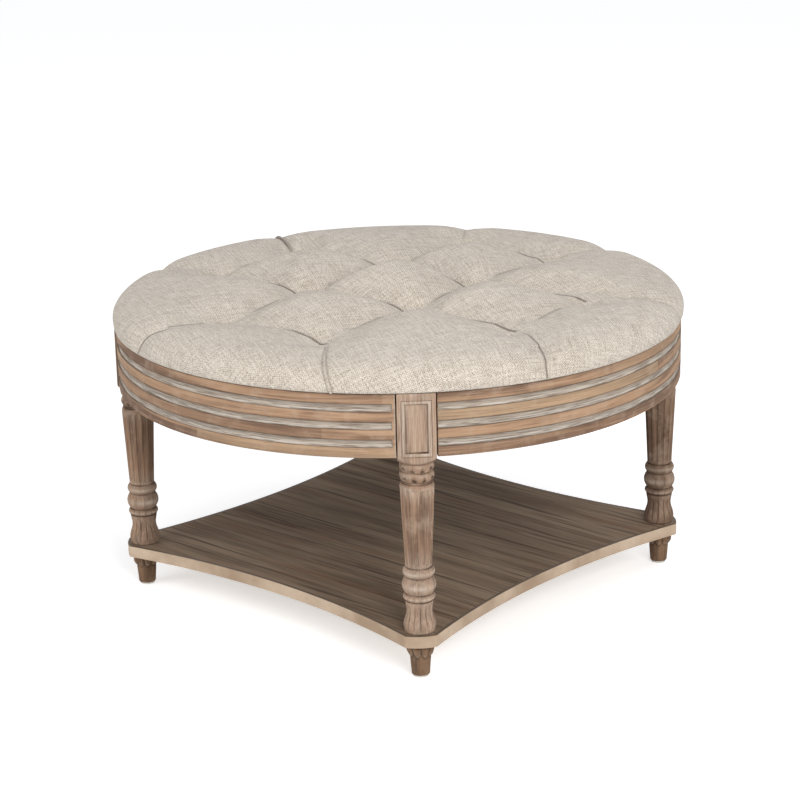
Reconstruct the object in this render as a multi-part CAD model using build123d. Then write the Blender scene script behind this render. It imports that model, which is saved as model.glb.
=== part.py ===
"""Round ottoman coffee table: tufted seat, reeded apron, four turned legs and a low shelf.

The origin is on the floor under the middle of the seat, +Z is up, and the front is towards -Y.
The legs stand on the diagonals. Every length is in millimetres.
"""

import os
from math import atan2, cos, pi, radians, sin, sqrt

from build123d import *

# Overall sizes
table_diameter = 800
floor_clearance = 308.6
apron_height = 85
seat_rise = 76.4
shelf_space = 244.9
shelf_thickness = 16

# Fits between pieces
joint_gap = 0.4
soft_gap = 0.3
hole_gap = 0.2
overrun = 5

# Leg block and its panel
block_width = 50
block_height = 95.6
pommel_height = 7.5
pommel_neck_diameter = 43
panel_width = 40
panel_height = 76
panel_margin = 9
panel_border = 6
panel_depth = 3

# Leg turning, from the block down
bead_height = 14
bead_neck_diameter = 41
bead_swell = 2.2
neck_fillet_diameter = 40
neck_fillet_height = 4
shaft_top_diameter = 45
shaft_foot_diameter = 35
shoulder_height = 8
upper_ring_height = 17
upper_ring_swell = 2.2
ring_neck_diameter = 37
ball_height = 26
ball_swell = 3.5
lower_ring_height = 9
lower_ring_swell = 2
vase_height = 38.3
vase_top_diameter = 35.5
vase_waist_diameter = 31
vase_waist_height = 25
vase_foot_diameter = 39
vase_swell_diameter = 41.5
vase_swell_height = 7
flute_count = 14
turning_sides = 16
bead_steps = 3
ball_steps = 4
ring_steps = 3
vase_steps = 3
flute_depth = 1.8

# Foot and glide
foot_top_diameter = 38
foot_lip_height = 4
foot_neck_diameter = 27.5
foot_neck_height = 22
foot_end_diameter = 24
foot_waist_diameter = 30
foot_waist_height = 33
foot_groove_count = 10
foot_groove_depth = 1.6
glide_diameter = 21
glide_height = 3
glide_pin_diameter = 3
glide_pin_length = 14

# Apron rails
apron_setback = 2
rail_thickness = 22
apron_flute_count = 3
apron_flute_width = 10
apron_flute_depth = 3
apron_flute_slope = 7.5
apron_flute_end_margin = 7
rail_piece_angle = 90

# Shelf
shelf_nose_width = 41
shelf_nose_front_drop = 3.5
shelf_side_hollow = 31
shelf_edge_thickness = 5
shelf_nose_joint_inset = 0.6
shelf_veneer_thickness = 0.8

# Seat board, cover and foam
board_setback = 12
board_thickness = 12
hem_thickness = 1
hem_width = 43
cover_thickness = 1.5
rim_setback = 0.5
rim_height = 14
crest_setback = 37
crest_height = 41
crown_ease = 1.5
rim_pillow_run = 83.49
lattice_angle = 45
quarter_turn = 90
roll_steps = 4
tuft_height = 24
bowl_slope_width = 38
pleat_angle = 0.5
pleat_depth = 5
pleat_start = 14
foam_gap = 3
foam_side_height = 9
foam_thickness = 18
foam_shoulder_width = 34
foam_well_diameter = 76
twine_diameter = 2
twine_knot_diameter = 7
twine_knot_height = 2.5
dust_cover_thickness = 1
dust_cover_lap = 4

# Corner blocks and fasteners
corner_block_height = 60
corner_block_depth = 38
corner_block_inner_half_width = 45
corner_block_half_width = 105
bolt_diameter = 8
bolt_leg_depth = 33
bolt_tail = 3
washer_diameter = 22
washer_thickness = 1.6
nut_across_flats = 13
nut_height = 6.5
tenon_thickness = 8
tenon_length = 36
tenon_height = 50
tenon_setback = 14
screw_diameter = 4
screw_head_diameter = 8
screw_head_height = 2.6
seat_screw_setback = 23
seat_screw_offset = 28
seat_screw_cover = 20
seat_screw_bite = 10
stud_diameter = 8
stud_leg_depth = 28
stud_foot_depth = 26
insert_diameter = 12
insert_height = 15
staple_crown = 10
staple_leg = 8
staple_wire = 0.9
cover_staple_setback = 26
cover_staple_count = 12
dust_staple_setback = 24
dust_staple_count = 8
rod_sides = 6
plate_sides = 48
rail_facet_count = 16

# Shares of the lengths that they follow
quarter_round_share = 0.19
flute_land_share = 0.3
foot_land_share = 0.5
small_petal_place_share = 1.72
pillow_ball_share = 1.4
petal_ball_share = 1.92
small_petal_ball_share = 1.6

# Places worked out from the sizes above
table_radius = table_diameter / 2
apron_top = floor_clearance + apron_height
table_height = apron_top + seat_rise
shelf_top = floor_clearance - shelf_space
shelf_bottom = shelf_top - shelf_thickness
leg_axis_radius = table_radius - block_width / 2
rail_outer_radius = table_radius - apron_setback
rail_inner_radius = rail_outer_radius - rail_thickness
rail_slot_width = block_width + 2 * joint_gap
block_bottom = apron_top - block_height
board_radius = table_radius - board_setback
rim_radius = table_radius - rim_setback
crest_radius = table_radius - crest_setback
tuft_spacing = (crest_radius - rim_pillow_run) / sqrt(5)
pillow_radius = pillow_ball_share * tuft_spacing
petal_radius = petal_ball_share * tuft_spacing
small_petal_radius = small_petal_ball_share * tuft_spacing
hem_inner_radius = board_radius - hem_width
dust_cover_radius = hem_inner_radius + dust_cover_lap
cover_staple_radius = board_radius - cover_staple_setback
dust_staple_radius = dust_cover_radius - dust_staple_setback
leg_inner_radius = leg_axis_radius - block_width / 2
corner_block_inner_radius = leg_inner_radius - corner_block_depth
seat_screw_radius = corner_block_inner_radius + seat_screw_setback
board_bottom = apron_top + hem_thickness
board_top = board_bottom + board_thickness
crown_rise = seat_rise + crown_ease
bolt_height = floor_clearance + apron_height / 2
corner_block_top = apron_top - dust_cover_thickness
corner_block_bottom = corner_block_top - corner_block_height
shaft_bottom = shelf_top + vase_height + lower_ring_height + ball_height + upper_ring_height
bead_bottom = block_bottom - 2 * bead_height
shaft_top = bead_bottom - neck_fillet_height

leg_angles = {"front_left": 225, "front_right": 315, "back_right": 45, "back_left": 135}
side_angles = {"front": 270, "right": 0, "back": 90, "left": 180}

pieces = {}


# Outlines in the plane of radius and height

def at_radius(point):
    return (point[0], 0, point[1])


def section(rows):
    """A face in the plane of radius and height through rows of (radius, height)."""
    return make_face(Polyline(*[at_radius(row) for row in rows], close=True))


def turned(rows, angle=360):
    """A solid of revolution about Z, centred on the +X side where it is part of a turn."""
    return Rot(0, 0, -angle / 2) * revolve(section(rows), Axis.Z, angle)


def bulge(neck, bottom, top, swell, steps):
    """Rows of (radius, height) over a rounded swelling, after the row that it starts from."""
    shares = [step / steps for step in range(1, steps + 1)]
    return [(neck + swell * sin(pi * share), bottom + (top - bottom) * share) for share in shares]


def eased(start, end, steps):
    """Rows of (radius, height) along an S curve, after the row that it starts from."""
    shares = [step / steps for step in range(1, steps + 1)]
    run, rise = end[0] - start[0], end[1] - start[1]
    return [(start[0] + run * (1 - cos(pi * share)) / 2, start[1] + rise * share) for share in shares]


def round_ring(radius, height):
    """Points evenly round the axis."""
    turns = [radians(360 / turning_sides * index) for index in range(turning_sides)]
    return [(radius * cos(turn), radius * sin(turn), height) for turn in turns]


def plate_ring(radius, height):
    """Points of a hidden plate's outline."""
    turns = [radians(360 / plate_sides * index) for index in range(plate_sides)]
    return [(radius * cos(turn), radius * sin(turn), height) for turn in turns]


def star_ring(radius, depth, count, height, land_share):
    """Points of a fluted ring: lands on the radius and V grooves of the given depth."""
    points = []
    for index in range(count):
        for share, reach in ((-land_share / 2, radius), (land_share / 2, radius), (1 / 2, radius - depth)):
            turn = radians(360 / count * (index + share))
            points.append((reach * cos(turn), reach * sin(turn), height))
    return points


def skin(rings):
    """A closed solid in flat facets through rings that have the same number of points."""
    faces = [make_face(Polyline(*rings[0], close=True)), make_face(Polyline(*rings[-1], close=True))]
    for lower, upper in zip(rings, rings[1:]):
        for index in range(len(lower)):
            corners = (lower[index - 1], lower[index], upper[index], upper[index - 1])
            faces.append(make_face(Polyline(*corners, close=True)))
    return Solid(Shell(faces))


def many_sided(rows):
    """A turning through rows of (radius, height), in facets because the table has many of them."""
    return skin([round_ring(radius, height) for radius, height in rows])


def disc(radius, bottom, top):
    """A round plate about the table's middle between two heights."""
    return Pos(0, 0, (bottom + top) / 2) * Cylinder(radius, top - bottom)


def plate(radius, bottom, top):
    """A hidden round plate about the table's middle, many-sided to stay light."""
    return Pos(0, 0, bottom) * extrude(RegularPolygon(radius, plate_sides), top - bottom)


def post(radius, bottom, top, x=0, y=0):
    """An upright rod or its hole. Rods are hidden, so they are many-sided and light."""
    return Pos(x, y, bottom) * extrude(RegularPolygon(radius, rod_sides), top - bottom)


def lying(radius, start, end, y=0, height=0):
    """A rod or its hole along X between two places."""
    return Pos(start, y, height) * Rot(0, 90, 0) * extrude(RegularPolygon(radius, rod_sides), end - start)


def around(shape, angle):
    """Turn a shape that was drawn on the +X side about the table's middle."""
    return Rot(0, 0, angle) * shape


def mirrored_pair(shape):
    return [shape, mirror(shape, Plane.XZ)]


def group(shapes):
    return Compound(children=[solid for shape in shapes for solid in shape.solids()])


def keep(name, shape):
    pieces[name] = shape


# Legs

def base_turning():
    """From the shelf up to the shaft: waisted base, ring, ball and ring."""
    neck = ring_neck_diameter / 2
    vase_top = shelf_top + vase_height
    ball_bottom = vase_top + lower_ring_height
    ball_top = ball_bottom + ball_height
    foot = (vase_foot_diameter / 2, shelf_top)
    swell = (vase_swell_diameter / 2, shelf_top + vase_swell_height)
    waist = (vase_waist_diameter / 2, shelf_top + vase_waist_height)
    top = (vase_top_diameter / 2, vase_top)
    rows = [foot, swell] + eased(swell, waist, vase_steps)
    rows += eased(waist, top, vase_steps) + [(neck, vase_top)]
    rows += bulge(neck, vase_top, ball_bottom, lower_ring_swell, ring_steps)
    rows += bulge(neck, ball_bottom, ball_top, ball_swell, ball_steps)
    rows += bulge(neck, ball_top, shaft_bottom, upper_ring_swell, ring_steps)
    return many_sided(rows)


def bead_turning():
    """The fillet and the two beads between the shaft and the block."""
    neck = bead_neck_diameter / 2
    fillet = neck_fillet_diameter / 2
    rows = [(fillet, shaft_top), (fillet, bead_bottom), (neck, bead_bottom)]
    for bottom in (bead_bottom, bead_bottom + bead_height):
        rows += bulge(neck, bottom, bottom + bead_height, bead_swell, bead_steps)
    return many_sided(rows)


def shaft():
    """The tapered shaft, whose flutes keep their proportion from the foot to the shoulder."""
    places = [
        (shaft_foot_diameter / 2, shaft_bottom),
        (shaft_top_diameter / 2, shaft_top - shoulder_height),
        (neck_fillet_diameter / 2, shaft_top),
    ]
    depth_share = flute_depth / (shaft_top_diameter / 2)
    return skin([star_ring(radius, radius * depth_share, flute_count, height, flute_land_share)
                 for radius, height in places])


def pommel():
    """The block's envelope: full square above, turned to a tapered end below."""
    neck = pommel_neck_diameter / 2
    corner = block_width / sqrt(2)
    rise = pommel_height * (corner + overrun - neck) / (corner - neck)
    return many_sided([
        (neck, block_bottom),
        (corner + overrun, block_bottom + rise),
        (corner + overrun, apron_top + overrun),
    ])


def panel_cutter():
    """The sunk panel on the block's outer face, with sloping borders."""
    middle = apron_top - panel_margin - panel_height / 2
    face = Plane(origin=(block_width / 2, 0, middle), x_dir=(0, 1, 0), z_dir=(1, 0, 0))
    mouth = face * Rectangle(panel_width, panel_height)
    floor_width, floor_height = panel_width - 2 * panel_border, panel_height - 2 * panel_border
    floor = face.offset(-panel_depth) * Rectangle(floor_width, floor_height)
    return loft([floor, mouth], ruled=True)


def leg():
    """One leg about its own axis, with its outer face towards +X."""
    block = Pos(0, 0, (block_bottom + apron_top) / 2) * Box(block_width, block_width, block_height)
    body = base_turning() + shaft() + bead_turning() + (block & pommel())
    bolt_end = bolt_leg_depth - block_width / 2 + hole_gap
    holes = [
        panel_cutter(),
        lying(bolt_diameter / 2 + hole_gap, -block_width / 2 - overrun, bolt_end, height=bolt_height),
        post(insert_diameter / 2 + hole_gap, shelf_top - overrun, shelf_top + insert_height + hole_gap),
        post(stud_diameter / 2 + hole_gap, shelf_top, shelf_top + stud_leg_depth + hole_gap),
    ]
    return body - holes - mirrored_pair(tenon(hole_gap))


def tenon(gap=0):
    """A loose tenon across the joint between block and rail, in the leg's own frame."""
    x = rail_outer_radius - tenon_setback - leg_axis_radius
    y = (block_width + joint_gap) / 2
    body = Box(tenon_thickness + 2 * gap, tenon_length + 2 * gap, tenon_height + 2 * gap)
    return Pos(x, y, bolt_height) * body


# Feet

def foot():
    """A plain shank, a scalloped flare above it and a round flange under the shelf."""
    flange_bottom = shelf_bottom - foot_lip_height
    flange = many_sided([(foot_top_diameter / 2, flange_bottom), (foot_top_diameter / 2, shelf_bottom)])
    shank = many_sided([(foot_end_diameter / 2, glide_height), (foot_neck_diameter / 2, foot_neck_height)])
    depth_share = foot_groove_depth / (foot_top_diameter / 2)
    flare = skin([star_ring(radius, radius * depth_share, foot_groove_count, height, foot_land_share)
                  for radius, height in (
                      (foot_neck_diameter / 2, foot_neck_height),
                      (foot_waist_diameter / 2, foot_waist_height),
                      (foot_top_diameter / 2, flange_bottom))])
    body = flange + flare + shank
    stud_end = shelf_bottom - stud_foot_depth - hole_gap
    body -= post(stud_diameter / 2 + hole_gap, stud_end, shelf_bottom + overrun)
    body -= post(glide_pin_diameter / 2 + hole_gap, 0, glide_height + glide_pin_length + hole_gap)
    return body


def glide():
    """A nailed glide whose flat face is the lowest part of the table."""
    pin = post(glide_pin_diameter / 2, glide_height, glide_height + glide_pin_length)
    return many_sided([(glide_diameter / 2, 0), (glide_diameter / 2, glide_height)]) + pin


# Apron

def bent(rows, half_turn):
    """A bar bent about the table's middle, with a section through rows of (radius, height).

    It is in flat facets, because four rails repeat, and all bars break at the same turns.
    """
    step = radians(rail_piece_angle / rail_facet_count)
    breaks = [step * index for index in range(-rail_facet_count, rail_facet_count + 1)]
    turns = [-half_turn] + [turn for turn in breaks if abs(turn) < half_turn - step / 10] + [half_turn]
    return skin([[(radius * cos(turn), radius * sin(turn), height) for radius, height in rows]
                 for turn in turns])


def apron_rail():
    """The rail on the +X side, with its flutes stopped short of the ends."""
    half_turn = radians(rail_piece_angle / 2)
    rail = bent([
        (rail_inner_radius, floor_clearance),
        (rail_outer_radius, floor_clearance),
        (rail_outer_radius, apron_top),
        (rail_inner_radius, apron_top),
    ], half_turn)
    slot = Pos(table_radius, 0, bolt_height) * Box(table_radius, rail_slot_width, apron_height + overrun)
    land = (apron_height - apron_flute_count * apron_flute_width) / (apron_flute_count + 1)
    stop = (block_width / 2 + apron_flute_end_margin) / rail_outer_radius
    cuts = []
    for index in range(apron_flute_count):
        bottom = floor_clearance + land + index * (land + apron_flute_width)
        cuts.append(bent([
            (rail_outer_radius, bottom),
            (rail_outer_radius + overrun, bottom),
            (rail_outer_radius + overrun, bottom + apron_flute_width),
            (rail_outer_radius, bottom + apron_flute_width),
            (rail_outer_radius - apron_flute_depth, bottom + apron_flute_slope),
        ], half_turn - stop))
    for turn in (-rail_piece_angle / 2, rail_piece_angle / 2):
        cuts.append(around(slot, turn))
        mortises = mirrored_pair(Pos(leg_axis_radius, 0, 0) * tenon(hole_gap))
        cuts += [around(mortise, turn) for mortise in mortises]
    return rail - cuts


# Corner blocks and their fasteners, on the +X side

def corner_block():
    """A block behind the leg, shaped to the rails' inner faces."""
    corners = [
        (corner_block_inner_radius, -corner_block_inner_half_width),
        (corner_block_inner_radius, corner_block_inner_half_width),
        (leg_inner_radius, corner_block_half_width),
        (table_radius, corner_block_half_width),
        (table_radius, -corner_block_half_width),
        (leg_inner_radius, -corner_block_half_width),
    ]
    plan = make_face(Polyline(*corners, close=True))
    plan &= RegularPolygon(rail_inner_radius - soft_gap, rail_facet_count * 360 // rail_piece_angle)
    plan -= Pos(leg_inner_radius + block_width / 2, 0) * Rectangle(block_width, rail_slot_width)
    body = extrude(Pos(0, 0, corner_block_bottom) * plan, corner_block_height)
    start = corner_block_inner_radius - overrun
    holes = [lying(bolt_diameter / 2 + hole_gap, start, table_radius, height=bolt_height)]
    head = screw_head_diameter / 2 + hole_gap
    seat_head = corner_block_top - seat_screw_cover
    for place in (-seat_screw_offset, seat_screw_offset):
        bottom = corner_block_bottom - overrun
        holes.append(post(head, bottom, seat_head + hole_gap, seat_screw_radius, place))
        holes.append(post(screw_diameter / 2 + hole_gap, seat_head, apron_top, seat_screw_radius, place))
    return body - holes


def seat_screws():
    top = board_bottom + seat_screw_bite
    head_top = corner_block_top - seat_screw_cover
    screw = post(screw_diameter / 2, head_top, top, seat_screw_radius, seat_screw_offset)
    head_bottom = head_top - screw_head_height
    screw += post(screw_head_diameter / 2, head_bottom, head_top, seat_screw_radius, seat_screw_offset)
    return mirrored_pair(screw)


def hanger_bolt():
    start = corner_block_inner_radius - washer_thickness - nut_height - bolt_tail
    return lying(bolt_diameter / 2, start, leg_inner_radius + bolt_leg_depth, height=bolt_height)


def washer():
    inner = corner_block_inner_radius - washer_thickness
    disc = lying(washer_diameter / 2, inner, corner_block_inner_radius, height=bolt_height)
    return disc - lying(bolt_diameter / 2 + hole_gap, inner - overrun, inner + overrun, height=bolt_height)


def nut():
    inner = corner_block_inner_radius - washer_thickness - nut_height
    plan = RegularPolygon(nut_across_flats / 2, 6, major_radius=False)
    plan -= RegularPolygon(bolt_diameter / 2 + hole_gap, rod_sides)
    return Pos(inner, 0, bolt_height) * Rot(0, 90, 0) * extrude(plan, nut_height)


# Shelf

def shelf_corner():
    """Where a nose's front ends, as its distances out along the diagonal and across it."""
    return (table_radius - shelf_nose_front_drop, shelf_nose_width / 2)


def on_diagonal(out, side, angle):
    """A point out along the ray at the given angle and to one side of it."""
    turn = radians(angle)
    return (out * cos(turn) - side * sin(turn), out * sin(turn) + side * cos(turn))


def shelf_outline():
    """The shelf's plan, with hollow sides and rounded noses on the diagonals."""
    edges = []
    out, side = shelf_corner()
    reach = on_diagonal(out, side, -45)[0] - shelf_side_hollow
    for angle in side_angles.values():
        first = on_diagonal(out, side, angle - 45)
        last = on_diagonal(out, -side, angle + 45)
        next_first = on_diagonal(out, side, angle + 45)
        edges.append(ThreePointArc(first, on_diagonal(reach, 0, angle), last))
        edges.append(ThreePointArc(last, on_diagonal(table_radius, 0, angle + 45), next_first))
    return make_face(Curve() + edges)


def shelf_pieces():
    """Veneered panel, four strips along its sides and one round each nose."""
    whole = shelf_outline()
    core = offset(whole, -shelf_edge_thickness, kind=Kind.INTERSECTION)
    rim = whole - core
    cut_out, cut_side = shelf_corner()
    nose_zones = {}
    for name, angle in leg_angles.items():
        zone = Pos(cut_out, 0) * Rectangle(2 * shelf_nose_width, 2 * (cut_side - shelf_nose_joint_inset))
        nose_zones[name] = Rot(0, 0, angle) * zone
    stud_hole = Pos(leg_axis_radius, 0) * RegularPolygon(stud_diameter / 2 + hole_gap, rod_sides)
    studs = [Rot(0, 0, angle) * stud_hole for angle in leg_angles.values()]
    sheet_bottom = shelf_top - shelf_veneer_thickness
    keep("shelf_panel", lifted(core - studs, shelf_bottom, sheet_bottom))
    keep("shelf_veneer", lifted(core - studs, sheet_bottom, shelf_top))
    for name, zone in nose_zones.items():
        keep("shelf_nose_" + name, lifted(rim & zone, shelf_bottom, shelf_top))
    sides = rim - list(nose_zones.values())
    for name, angle in side_angles.items():
        middle = on_diagonal(table_radius, 0, angle)
        strip = min(sides.faces(), key=lambda face: (face.center() - Vector(*middle)).length)
        keep("shelf_edge_" + name, lifted(strip, shelf_bottom, shelf_top))


def lifted(plan, bottom, top):
    return extrude(Pos(0, 0, bottom) * plan, top - bottom)


# Seat

def crown_radius():
    """Radius of the ball whose cap is the seat's smooth crown."""
    rise = crown_rise - crest_height
    return (crest_radius ** 2 + rise ** 2) / (2 * rise)


def crown_height(radius):
    """Height of the crown above the floor at a distance from the middle."""
    return apron_top + crown_rise - crown_radius() + sqrt(crown_radius() ** 2 - radius ** 2)


def roll_swell():
    """How far the rim's roll stands out from the line between rim and crest."""
    return sqrt((rim_radius - crest_radius) ** 2 + (crest_height - rim_height) ** 2) * quarter_round_share


def crown_form():
    """The seat without its tufts: drawn-in side, rolled rim and crown, up to where the bowl clears it."""
    rim = (rim_radius, apron_top + rim_height)
    crest = (crest_radius, apron_top + crest_height)
    roll = []
    for step in range(roll_steps + 1):
        share = step / roll_steps
        middle = (rim[0] + (crest[0] - rim[0]) * share, rim[1] + (crest[1] - rim[1]) * share)
        bow = roll_swell() * sin(pi * share)
        roll.append((middle[0] + bow * roll_lean()[0], middle[1] + bow * roll_lean()[1]))
    outer_tuft = tuft_spacing * sqrt(5)
    rows = [(0, apron_top), (board_radius + soft_gap + cover_thickness, apron_top)] + roll
    rows += [(outer_tuft, crown_height(outer_tuft)), (outer_tuft, crown_height(0)), (0, crown_height(0))]
    return around(turned(rows), outer_tuft_angle(0))


def roll_lean():
    """The way outward and upward, square to the line between rim and crest."""
    run = rim_radius - crest_radius
    rise = crest_height - rim_height
    length = sqrt(run ** 2 + rise ** 2)
    return (rise / length, run / length)


def bowl():
    """The shallow bowl that the pillows fill, out to the outer tufts."""
    floor = apron_top + tuft_height
    bottom = tuft_spacing * sqrt(5)
    top = bottom + bowl_slope_width
    rise = crown_height(top) - floor
    middle = floor + (top ** 2 - bottom ** 2 + rise ** 2) / (2 * rise)
    ball = Pos(0, 0, middle) * Rot(90, 0, 0) * Sphere(sqrt(bottom ** 2 + (middle - floor) ** 2))
    return ball & disc(table_diameter, floor, table_height + overrun)


def pleat():
    """The thin wedge that a fold takes out of the rim, from its tuft down the side."""
    start = tuft_spacing * sqrt(5) + pleat_start
    end = rim_radius + overrun
    shoulder = (rim_radius + crest_radius) / 2 + roll_swell() * roll_lean()[0] - pleat_depth
    shoulder_height = apron_top + (rim_height + crest_height) / 2
    shoulder_height += roll_swell() * roll_lean()[1] - pleat_depth
    return turned([
        (start, crown_height(start) - pleat_depth),
        (crest_radius, apron_top + crest_height - pleat_depth),
        (shoulder, shoulder_height),
        (rim_radius - pleat_depth, apron_top + rim_height),
        (end, apron_top + rim_height / 2),
        (end, table_height),
        (start, table_height),
    ], pleat_angle)


def tufted_form():
    """The seat's outer form: crown, 13 pillows that meet in creases and a pleat from each outer tuft."""
    form = crown_form() - (bowl() - [pillow(*place) for place in pillow_places()])
    folds = [Rot(0, 0, outer_tuft_angle(index)) * pleat() for index in range(8)]
    return form - folds


def outer_tuft_angle(index):
    """The outer tufts lie two spacings out and one to the side of each axis of the lattice."""
    lean = atan2(tuft_spacing, 2 * tuft_spacing) * 180 / pi
    return lattice_angle + quarter_turn * (index // 2) + (lean if index % 2 else -lean)


def pillow_places():
    """Middle and ball radius of each of the 13 pillows in the diamond lattice."""
    places = [((0, 0), pillow_radius)]
    for index in range(4):
        axis = lattice_angle + quarter_turn * index
        places.append((on_diagonal(tuft_spacing * sqrt(2), 0, axis + quarter_turn / 2), pillow_radius))
        places.append((on_diagonal(2 * tuft_spacing, 0, axis), petal_radius))
        small_place = small_petal_place_share * tuft_spacing * sqrt(2)
        places.append((on_diagonal(small_place, 0, axis + quarter_turn / 2), small_petal_radius))
    return places


def pillow(middle, radius):
    """The top of one pillow is part of a ball that stays just under the crown."""
    distance = sqrt(middle[0] ** 2 + middle[1] ** 2)
    top = crown_height(distance) - crown_ease
    return Pos(middle[0], middle[1], top - radius) * Rot(90, 0, 0) * Sphere(radius)


def tuft_places():
    """The 12 tufts: the corners of the diamonds."""
    places = []
    for index in range(4):
        axis = lattice_angle + quarter_turn * index
        places.append(on_diagonal(tuft_spacing, 0, axis))
        for side in (-tuft_spacing, tuft_spacing):
            places.append(on_diagonal(2 * tuft_spacing, side, axis))
    return places


def foam_form(gap=0):
    """Foam disc with a chamfered rim and a well through it at each tuft, grown by gap."""
    side = board_radius - foam_gap + gap
    top = board_top + foam_thickness + gap
    shoulder = board_top + foam_side_height + gap
    rows = [(side, board_top), (side, shoulder), (side - foam_shoulder_width, top)]
    body = skin([plate_ring(radius, height) for radius, height in rows])
    well = foam_well_diameter / 2 - gap
    return body - [post(well, board_bottom, table_height, *place) for place in tuft_places()]


def seat_cover():
    """Fabric and wadding: tufted outside, drawn through the foam's wells, hemmed under the board."""
    body = tufted_form() - foam_form(soft_gap)
    body -= plate(board_radius + soft_gap, board_bottom, board_top + soft_gap)
    body -= plate(hem_inner_radius, apron_top - overrun, board_bottom + overrun)
    hole = twine_diameter / 2 + hole_gap
    holes = [post(hole, board_bottom, twine_top() + soft_gap, *place) for place in tuft_places()]
    return body - holes - staple_slots(cover_staples_plan(), apron_top)


def seat_board():
    """Plywood disc with holes for the twine, the screws and the staples."""
    board = plate(board_radius, board_bottom, board_top)
    holes = []
    for place in tuft_places():
        holes.append(post(twine_diameter / 2 + hole_gap, board_bottom, board_top + overrun, *place))
        holes.append(post(twine_knot_diameter / 2 + hole_gap, board_bottom - overrun,
                          board_bottom + twine_knot_height + hole_gap, *place))
    for angle in leg_angles.values():
        for side in (-seat_screw_offset, seat_screw_offset):
            hole = post(screw_diameter / 2 + hole_gap, board_bottom - overrun,
                        board_bottom + seat_screw_bite + hole_gap, seat_screw_radius, side)
            holes.append(around(hole, angle))
    holes += staple_slots(cover_staples_plan(), apron_top)
    holes += staple_slots(dust_staples_plan(), corner_block_top)
    return board - holes


def twine_top():
    """Just under the cover's face at a tuft."""
    return apron_top + tuft_height - cover_thickness


def twine():
    """One tufting twine with its knot in the board's pocket."""
    rod = post(twine_diameter / 2, board_bottom, twine_top())
    return rod + post(twine_knot_diameter / 2, board_bottom, board_bottom + twine_knot_height)


def staple(radius, crown_top):
    """A staple seen from below: its crown under the cloth and two legs up into the board."""
    crown = Pos(radius, 0, crown_top - staple_wire / 2) * Box(staple_wire, staple_crown, staple_wire)
    leg_place = staple_crown / 2 - staple_wire / 2
    legs = [Pos(radius, side, crown_top + staple_leg / 2) * Box(staple_wire, staple_wire, staple_leg)
            for side in (-leg_place, leg_place)]
    return crown + legs


def staple_slots(plan, crown_top):
    slots = []
    width = staple_wire + 2 * hole_gap
    leg_place = staple_crown / 2 - staple_wire / 2
    for radius, angle in plan:
        for side in (-leg_place, leg_place):
            place = Pos(radius, side, crown_top + staple_leg / 2)
            slot = place * Box(width, width, staple_leg + 2 * hole_gap)
            slots.append(around(slot, angle))
    return slots


def cover_staples_plan():
    """Radius and angle of each staple through the hem, clear of the leg blocks."""
    step = 360 / cover_staple_count
    return [(cover_staple_radius, step * index) for index in range(cover_staple_count)]


def dust_staples_plan():
    """Radius and angle of each staple through the lining, clear of the corner blocks."""
    step = 360 / dust_staple_count
    return [(dust_staple_radius, step * (index + 1 / 2)) for index in range(dust_staple_count)]


def dust_cover():
    """Black lining stretched under the board, holed for the seat screws."""
    sheet = plate(dust_cover_radius, corner_block_top, apron_top)
    holes = []
    for angle in leg_angles.values():
        for side in (-seat_screw_offset, seat_screw_offset):
            bottom = corner_block_top - overrun
            hole = post(screw_diameter / 2 + hole_gap, bottom, board_bottom, seat_screw_radius, side)
            holes.append(around(hole, angle))
    return sheet - holes - staple_slots(dust_staples_plan(), corner_block_top)


# Assembly

def build():
    one_leg = Pos(leg_axis_radius, 0, 0) * leg()
    one_foot = Pos(leg_axis_radius, 0, 0) * foot()
    one_block = corner_block()
    for name, angle in leg_angles.items():
        keep("leg_" + name, around(one_leg, angle))
        keep("foot_" + name, around(one_foot, angle))
        keep("corner_block_" + name, around(one_block, angle))
    one_rail = apron_rail()
    for name, angle in side_angles.items():
        keep("apron_" + name, around(one_rail, angle))
    shelf_pieces()
    keep("seat_board", seat_board())
    keep("seat_foam", foam_form())
    keep("seat_cover", seat_cover())
    keep("dust_cover", dust_cover())
    keep("tufting_twine", group([Pos(place[0], place[1], 0) * twine() for place in tuft_places()]))
    keep("cover_staples", group([around(staple(radius, apron_top), angle)
                                 for radius, angle in cover_staples_plan()]))
    keep("dust_cover_staples", group([around(staple(radius, corner_block_top), angle)
                                      for radius, angle in dust_staples_plan()]))
    stud_end = shelf_bottom - stud_foot_depth
    stud = post(stud_diameter / 2, stud_end, shelf_top + stud_leg_depth, leg_axis_radius)
    sleeve = post(insert_diameter / 2, shelf_top, shelf_top + insert_height, leg_axis_radius)
    sleeve -= post(stud_diameter / 2 + hole_gap, shelf_top - overrun, shelf_top + insert_height + overrun,
                   leg_axis_radius)
    at_each_leg = {
        "foot_glides": [Pos(leg_axis_radius, 0, 0) * glide()],
        "foot_studs": [stud],
        "threaded_inserts": [sleeve],
        "hanger_bolts": [hanger_bolt()],
        "bolt_washers": [washer()],
        "bolt_nuts": [nut()],
        "seat_screws": seat_screws(),
        "rail_tenons": mirrored_pair(Pos(leg_axis_radius, 0, 0) * tenon()),
    }
    for name, shapes in at_each_leg.items():
        keep(name, group([around(shape, angle) for angle in leg_angles.values() for shape in shapes]))


build()
os.makedirs("parts", exist_ok=True)
for name, shape in pieces.items():
    export_step(shape, "parts/" + name + ".step")
    print(name, len(shape.solids()), "solids", round(shape.volume), "mm3")
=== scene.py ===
from math import cos, pi, radians, sin

import bmesh
import bpy
import numpy as np
from mathutils import Matrix, Vector


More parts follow.
